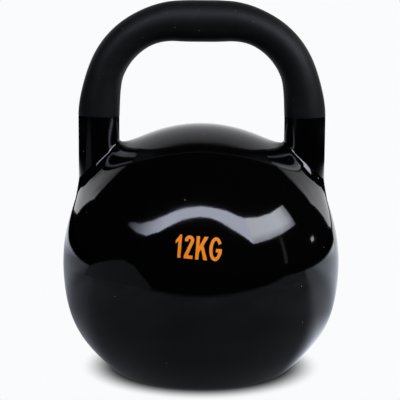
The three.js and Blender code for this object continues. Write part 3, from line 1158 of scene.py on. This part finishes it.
def draw_g(height, stroke):
    width = 8.8 * MM
    mid_x, mid_z = width / 2, height / 2
    outer_z = mid_z + 0.2 * MM
    mouth_top, mouth_low = pi / 6, 2 * pi - 0.5
    bar_top = 0.52 * height
    bar_left = mid_x + 0.3 * MM
    outer = ellipse(mid_x, mid_z, mid_x, outer_z, mouth_top, mouth_low, steps=36)
    inner = ellipse(mid_x, mid_z, mid_x - stroke, outer_z - stroke, mouth_low, mouth_top, steps=36)
    bar = [(width, 0.3 * height), (width, bar_top), (bar_left, bar_top)]
    bar += [(bar_left, bar_top - stroke), (width - stroke, bar_top - stroke)]
    return [*outer, *bar, *inner], width


class KETTLEBELL_OT_foot_fittings(Operator):
    """Build the filling boss, its plug and the plug's washer in the foot"""

    bl_idname = "kettlebell.foot_fittings"
    bl_label = "Foot Fittings"

    around = 96
    bore_r = 15.8 * MM
    seat_r = 19.4 * MM
    seat_depth = 6.3 * MM
    head = 3 * MM
    chamfer = 0.4 * MM
    slot_width = 3 * MM
    slot_depth = 2 * MM
    thread_gap = 0.3 * MM
    washer_gap = 0.7 * MM  # between the shank and the washer

    def execute(self, context):
        boss_r = BOSS_HIGH.x
        top = BOSS_HIGH.z
        edge = self.chamfer
        profile = [
            (self.seat_r + edge, 0),
            (boss_r, 0),
            (boss_r, top - edge),
            (boss_r - edge, top),
            (self.bore_r + edge, top),
            (self.bore_r, top - edge),
            (self.bore_r, self.seat_depth),
            (self.seat_r, self.seat_depth),
            (self.seat_r, edge),
        ]
        boss = skin("filling_boss", turned(profile, self.around), closed=True)
        steel = finish_of("bare_steel", context)
        add_piece("foot_filling_boss", boss, steel, ["filling_boss"])

        head_r = PLUG_HIGH.x
        shank_r = self.bore_r - self.thread_gap
        low = PLUG_LOW.z
        profile = [
            (0, low),
            (head_r - edge, low),
            (head_r, low + edge),
            (head_r, low + self.head),
            (shank_r, low + self.head),
            (shank_r, PLUG_HIGH.z - edge),
            (shank_r - edge, PLUG_HIGH.z),
            (0, PLUG_HIGH.z),
        ]
        plug = skin("base_plug", turned(profile, self.around), closed=False)
        slot = bmesh.new()
        bmesh.ops.create_cube(slot, size=1)
        bmesh.ops.scale(slot, vec=(3 * head_r, self.slot_width, 2 * self.slot_depth), verts=slot.verts)
        bmesh.ops.translate(slot, vec=(0, 0, low), verts=slot.verts)
        plug = cut(plug, mesh_from(slot, "plug_slot"))
        zinc = finish_of("zinced_steel", context)
        add_piece("foot_filling_plug", plug, zinc, ["base_plug"])

        middle_r = (WASHER_HIGH.x + shank_r + self.washer_gap) / 2
        middle_z = (WASHER_HIGH.z + WASHER_LOW.z) / 2
        half_r = WASHER_HIGH.x - middle_r
        half_z = (WASHER_HIGH.z - WASHER_LOW.z) / 2
        section = ellipse(middle_r, middle_z, half_r, half_z, 0, 2 * pi, steps=16)[:-1]
        washer = skin("plug_washer", turned(section, self.around), closed=True)
        rubber = finish_of("nitrile", context)
        add_piece("foot_plug_washer", washer, rubber, ["plug_washer"])
        return {"FINISHED"}


class KETTLEBELL_OT_inner_pieces(Operator):
    """Finish the pieces shut inside the ball, which keep their CAD shape"""

    bl_idname = "kettlebell.inner_pieces"
    bl_label = "Inner Pieces"

    def execute(self, context):
        for node, slot in (("seam_backing_ring", "bare_steel"), ("ballast", "cement")):
            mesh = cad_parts[node].data
            mesh.materials.clear()
            mesh.materials.append(finish_of(slot, context))
        return {"FINISHED"}


# ---- Studio ----------------------------------------------------------------------------------------


def add_card(name, stations, material, reach=2.5):
    """A bowed card that lights the kettlebell and that the camera doesn't see.

    Each station is an azimuth from the front, and the elevations of the card's lower and upper edges
    there, in degrees as seen from the ball's centre.
    """
    shape = bmesh.new()
    uv = shape.loops.layers.uv.new("card")
    first, last = stations[0][0], stations[-1][0]
    columns = []
    for azimuth, *edges in stations:
        column = []
        for v, elevation in enumerate(edges):
            level = cos(radians(elevation))
            x = reach * level * sin(radians(azimuth))
            y = -reach * level * cos(radians(azimuth))
            vert = shape.verts.new((x, y, SEAM_Z + reach * sin(radians(elevation))))
            column.append((vert, ((azimuth - first) / (last - first), v)))
        columns.append(column)
    for left, right in zip(columns, columns[1:]):
        corners = [left[0], right[0], right[1], left[1]]
        face = shape.faces.new([vert for vert, _ in corners])
        for loop, (_, place) in zip(face.loops, corners):
            loop[uv].uv = place
    mesh = bpy.data.meshes.new(name)
    shape.to_mesh(mesh)
    shape.free()
    mesh.materials.append(material)
    card = bpy.data.objects.new(name, mesh)
    bpy.context.scene.collection.objects.link(card)
    card.visible_camera = False


def glow(name, tint, strength, along=None, up=None):
    """A light-giving material, whose brightness may follow ramps along and up its card."""
    material = bpy.data.materials.new(name)
    material.use_nodes = True
    tree = material.node_tree
    tree.nodes.clear()
    place = add_node(tree, "ShaderNodeTexCoord").outputs["UV"]
    split = add_node(tree, "ShaderNodeSeparateXYZ", links={"Vector": place})
    colour = (*linear(tint), 1)
    shader = add_node(tree, "ShaderNodeEmission", values={"Color": colour, "Strength": strength})
    level = None
    for axis, stops in (("X", along), ("Y", up)):
        if not stops:
            continue
        ramp = add_node(tree, "ShaderNodeFloatCurve", links={"Value": split.outputs[axis]})
        curve = ramp.mapping.curves[0]
        while len(curve.points) < len(stops):
            curve.points.new(0.5, 0.5)
        for point, stop in zip(curve.points, stops):
            point.location = stop
            point.handle_type = "VECTOR"
        ramp.mapping.update()
        scaled = add_node(
            tree,
            "ShaderNodeMath",
            props={"operation": "MULTIPLY"},
            values={1: strength},
            links={0: ramp.outputs[0]},
        )
        if level:
            tree.links.new(level, scaled.inputs[1])
        level = scaled.outputs[0]
    if level:
        tree.links.new(level, shader.inputs["Strength"])
    add_node(tree, "ShaderNodeOutputMaterial", links={"Surface": shader.outputs[0]})
    return material


class KETTLEBELL_OT_studio(Operator):
    """Set up the floor, the background, the lights and the camera"""

    bl_idname = "kettlebell.studio"
    bl_label = "Studio"

    floor_half = 8.0
    flag_glow = 0.155
    fold_glow = 1.1
    lamp_glow = 4
    stand_glow = 0.3

    def execute(self, context):
        studio = context.scene.kettlebell_studio
        self.set_world(context, studio)
        self.add_floor(context, studio)
        self.add_lights(studio)
        self.add_camera(context, studio)
        context.scene.view_settings.view_transform = "Standard"
        return {"FINISHED"}

    def set_world(self, context, studio):
        """White to the camera, and a dark room to everything else."""
        room = 0.003
        world = bpy.data.worlds.new("studio")
        world.use_nodes = True
        tree = world.node_tree
        tree.nodes.clear()
        sight = add_node(tree, "ShaderNodeLightPath").outputs["Is Camera Ray"]
        dark = add_node(tree, "ShaderNodeBackground", values={"Color": (room, room, room, 1)})
        white = add_node(tree, "ShaderNodeBackground", values={"Color": (*studio.floor, 1)})
        both = add_node(
            tree, "ShaderNodeMixShader", links={0: sight, 1: dark.outputs[0], 2: white.outputs[0]}
        )
        add_node(tree, "ShaderNodeOutputWorld", links={"Surface": both.outputs[0]})
        context.scene.world = world

    def add_floor(self, context, studio):
        """Pale paper with a soft contact shadow, which is dimmer in reflections than to the camera."""
        shadow_reach = 28 * MM
        contact_level = 0.01
        drop = 0.1 * MM  # below the foot, so that the two faces don't lie in each other
        half = self.floor_half
        shape = bmesh.new()
        corners = ((-half, -half), (half, -half), (half, half), (-half, half))
        shape.faces.new([shape.verts.new((x, y, -drop)) for x, y in corners])
        mesh = bpy.data.meshes.new("floor")
        shape.to_mesh(mesh)
        shape.free()
        material, tree, place = new_material("floor_paper")
        split = add_node(tree, "ShaderNodeSeparateXYZ", links={"Vector": place})

        right, behind = split.outputs["X"], split.outputs["Y"]
        flat = add_node(tree, "ShaderNodeCombineXYZ", links={"X": right, "Y": behind})
        radius = add_node(
            tree, "ShaderNodeVectorMath", props={"operation": "LENGTH"}, links={0: flat.outputs[0]}
        ).outputs["Value"]
        uneven = add_node(
            tree,
            "ShaderNodeTexNoise",
            values={"Scale": per_mm(160), "Detail": 1},
            links={"Vector": place},
        ).outputs["Fac"]

        # In reflections the paper ends in front, is dim round the ball, and brightens at its sides and
        # behind it towards the lit backdrop. Each patch of light is a product of ramps. A ramp says what
        # it is measured along, where it starts and ends in metres, and its level at each.
        front_edge = (behind, -0.44, -0.33, 0, 1)
        mottling = (uneven, 0.25, 0.75, 0.85, 1.15)
        past_middle = (behind, -0.04, 0.02, 0, 1)
        beside = (radius, 0.09, 0.2, 1.5, 0.4)
        patches = [
            [(radius, 0.07, 0.13, 0.1, 0.16), mottling, front_edge],
            [(radius, 0.15, 0.3, 0, 0.035), mottling, front_edge],
            [(behind, 0.1, 0.25, 0, 0.25), (right, -0.1, 0.3, 1, 1.9)],
            [(behind, 0.4, 0.7, 0, 0.75)],
            [(right, 0.05, 0.09, 0, 1), beside, past_middle],
            [(right, -0.09, -0.05, 0.12, 0), beside, past_middle],
        ]
        paper_end = (radius, 0.95, 1.15, 1, 0)
        # To the camera it is even but for the shadow round the foot, darkest where the foot touches
        foot_r = foot_radius(context.scene.kettlebell_sizes)
        shadow = (radius, foot_r, foot_r + shadow_reach, contact_level, 1)

        ramps = {}
        for ramp in [*(ramp for patch in patches for ramp in patch), paper_end, shadow]:
            axis, start, end, low, high = ramp
            ramps[ramp] = add_node(
                tree,
                "ShaderNodeMapRange",
                props={"interpolation_type": "SMOOTHSTEP"},
                values={"From Min": start, "From Max": end, "To Min": low, "To Max": high},
                links={"Value": axis},
            ).outputs["Result"]
        lit = None
        for patch in patches:
            level = ramps[patch[0]]
            for ramp in patch[1:]:
                links = {0: level, 1: ramps[ramp]}
                level = add_node(
                    tree, "ShaderNodeMath", props={"operation": "MULTIPLY"}, links=links
                ).outputs[0]
            if lit:
                level = add_node(
                    tree, "ShaderNodeMath", props={"operation": "ADD"}, links={0: lit, 1: level}
                ).outputs[0]
            lit = level
        links = {0: lit, 1: ramps[paper_end]}
        lit = add_node(tree, "ShaderNodeMath", props={"operation": "MULTIPLY"}, links=links).outputs[0]
        reflected = add_node(
            tree, "ShaderNodeEmission", values={"Color": (*linear("E9F1FF"), 1)}, links={"Strength": lit}
        )
        white = add_node(
            tree,
            "ShaderNodeEmission",
            values={"Color": (*studio.floor, 1)},
            links={"Strength": ramps[shadow]},
        )
        sight = add_node(tree, "ShaderNodeLightPath").outputs["Is Camera Ray"]
        both = add_node(
            tree, "ShaderNodeMixShader", links={0: sight, 1: reflected.outputs[0], 2: white.outputs[0]}
        )
        add_node(tree, "ShaderNodeOutputMaterial", links={"Surface": both.outputs[0]})
        mesh.materials.append(material)
        floor = bpy.data.objects.new("floor", mesh)
        context.scene.collection.objects.link(floor)

    def add_lights(self, studio):
        """A bowed strip over the front, a softbox to the right, lit paper behind, and small cards."""
        strip = [
            (-72, 29, 31),
            (-60, 27, 33.5),
            (-50, 27, 38.5),
            (-40, 32, 45),
            (-30, 39, 51),
            (-20, 44.5, 54.5),
            (-10, 47, 56),
            (0, 48, 57),
            (10, 47, 56),
            (20, 43, 54),
            (30, 36, 51),
            (40, 28, 45),
            (46, 22, 42),
        ]
        add_card(
            "strip_softbox",
            strip,
            glow(
                "strip_glow",
                "E4EAFF",
                studio.softbox,
                along=((0, 0.05), (0.1, 0.3), (0.2, 0.7), (0.3, 1), (1, 1)),
            ),
        )
        softbox = [(46, 22, 42), (60, 22, 39), (75, 22, 37), (94.5, 21.5, 35)]
        add_card(
            "side_softbox",
            softbox,
            glow(
                "side_glow",
                "EEF3FF",
                studio.softbox,
                along=((0, 1), (0.65, 1), (0.85, 0.75), (1, 0.25)),
                up=((0, 0.5), (0.35, 1), (1, 1)),
            ),
        )
        # The paper behind is brightest at its foot, and its corners are rounded off
        backdrop = [
            (126, 17, 32),
            (132, 9, 40),
            (139, 1, 45),
            (145, -2, 49),
            (152, -2, 52),
            (160, -2, 54),
            (180, -2, 57),
            (200, -2, 54),
            (208, -1.5, 52),
            (215, 1.5, 49),
            (221, 4, 45),
            (228, 12, 40),
            (234, 19, 32),
        ]
        add_card(
            "backdrop_paper",
            backdrop,
            glow(
                "paper_glow",
                "FAFBFF",
                studio.backdrop,
                up=((0, 1), (0.2, 0.75), (0.5, 0.42), (0.9, 0.25), (1, 0.1)),
            ),
        )
        # A low grey flag to the left, a fold in the paper behind, and a lamp and a stand to the right
        flag = [
            (-101, -9, -8.5),
            (-93, -9, -3),
            (-82, -9, 1),
            (-70, -9, 5),
            (-60, -9, 7),
            (-50, -9, 5),
            (-42, -9, -2),
            (-36, -9, -8),
        ]
        add_card("low_flag", flag, glow("flag_glow", "E9F1FF", self.flag_glow), reach=0.5)
        fold = [(136, -7.7, -6), (141, -7.7, -1), (150, -7.7, -0.6), (172, -7.7, -0.6)]
        add_card("paper_fold", fold, glow("fold_glow", "FAFBFF", self.fold_glow), reach=0.6)
        lamp = [(105, 7, 9), (109, 7, 9)]
        add_card("far_lamp", lamp, glow("lamp_glow", "FFFFFF", self.lamp_glow))
        stand = [(71, 3, 20), (74, 3, 20)]
        add_card("light_stand", stand, glow("stand_glow", "F4F4E8", self.stand_glow))

    def add_camera(self, context, studio):
        """A long lens, a little above the handle and looking down at the ball."""
        sensor = 36
        data = bpy.data.cameras.new("camera")
        data.sensor_width = sensor
        data.lens = studio.lens
        camera = bpy.data.objects.new("camera", data)
        tilt = Matrix.Rotation(pi / 2 - studio.camera_pitch, 4, "X")
        turn = tilt @ Matrix.Rotation(studio.camera_roll, 4, "Z")
        place = (studio.camera_aside, -studio.camera_distance, studio.camera_height)
        camera.matrix_world = Matrix.Translation(place) @ turn
        context.scene.collection.objects.link(camera)
        context.scene.camera = camera


class KETTLEBELL_PT_panel(Panel):
    """Lists the kettlebell's pieces and its studio"""

    bl_idname = "KETTLEBELL_PT_panel"
    bl_label = "Kettlebell"
    bl_space_type = "VIEW_3D"
    bl_region_type = "UI"
    bl_category = "Kettlebell"

    def draw(self, context):
        for step in STEPS:
            self.layout.operator(step.bl_idname)


STEPS = [
    KETTLEBELL_OT_studio,
    KETTLEBELL_OT_shells,
    KETTLEBELL_OT_handle,
    KETTLEBELL_OT_leg_welds,
    KETTLEBELL_OT_mark,
    KETTLEBELL_OT_foot_fittings,
    KETTLEBELL_OT_inner_pieces,
]
GROUPS = {
    "kettlebell_sizes": KettlebellSizes,
    "kettlebell_colours": KettlebellColours,
    "kettlebell_studio": KettlebellStudio,
}
CLASSES = [*GROUPS.values(), *STEPS, KETTLEBELL_PT_panel]


def register():
    for item in CLASSES:
        bpy.utils.register_class(item)
    for name, group in GROUPS.items():
        setattr(bpy.types.Scene, name, PointerProperty(type=group))


def unregister():
    for name in GROUPS:
        delattr(bpy.types.Scene, name)
    for item in reversed(CLASSES):
        bpy.utils.unregister_class(item)


def main():
    register()
    for step in STEPS:
        group, operator = step.bl_idname.split(".")
        getattr(getattr(bpy.ops, group), operator)()


if __name__ == "__main__":
    main()
